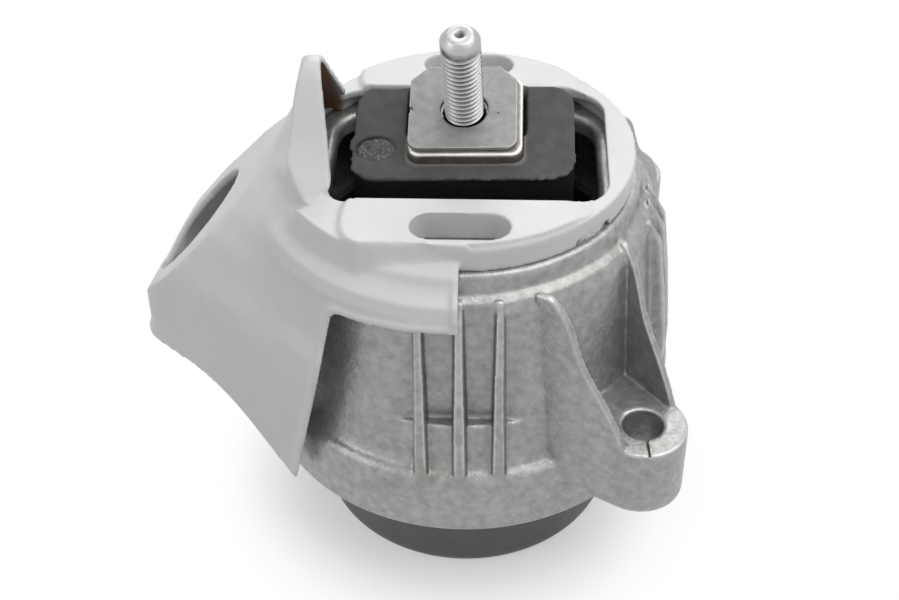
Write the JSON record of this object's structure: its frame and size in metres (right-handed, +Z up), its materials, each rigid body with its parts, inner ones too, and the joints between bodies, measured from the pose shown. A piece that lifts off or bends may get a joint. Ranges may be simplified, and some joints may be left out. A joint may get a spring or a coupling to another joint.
{
  "type": "engine mount",
  "caption": "Hydraulic engine mount: die-cast housing with bolting lugs, rubber spring and stop buffer, tilted threaded stud, moulded heat shield with a hood, and a cup-shaped base.",
  "frame": {"origin": "centre of the flat underside of the base cup, on the housing axis", "axes": "+Z up along the housing axis, -Y towards the side with the front ribs, +X towards the open lugs, so that the hood is towards -X"},
  "size_m": [0.1485, 0.1323, 0.1537],
  "materials": {
    "cast_aluminium": "as cast, matte",
    "shield_plastic": "moulded, matte",
    "stud_steel": "zinc plated",
    "plate_steel": "pressed, satin",
    "core_metal": "as cast",
    "buffer_rubber": "moulded, matte",
    "spring_rubber": "moulded, matte",
    "ring_steel": "plain",
    "channel_aluminium": "as cast",
    "membrane_rubber": "moulded",
    "cup_steel": "dark coated, satin"
  },
  "bodies": {
    "root": {"die_cast_housing": "cast_aluminium", "heat_shield": "shield_plastic", "engine_stud": "stud_steel", "stop_plate": "plate_steel", "inner_core": "core_metal", "rubber_buffer": "buffer_rubber", "main_spring": "spring_rubber", "spring_ring": "ring_steel", "upper_channel_plate": "channel_aluminium", "lower_channel_plate": "channel_aluminium", "decoupler_membrane": "membrane_rubber", "bellows_ring": "ring_steel", "rolling_bellows": "membrane_rubber", "base_cup": "cup_steel"}
  },
  "joints": []
}
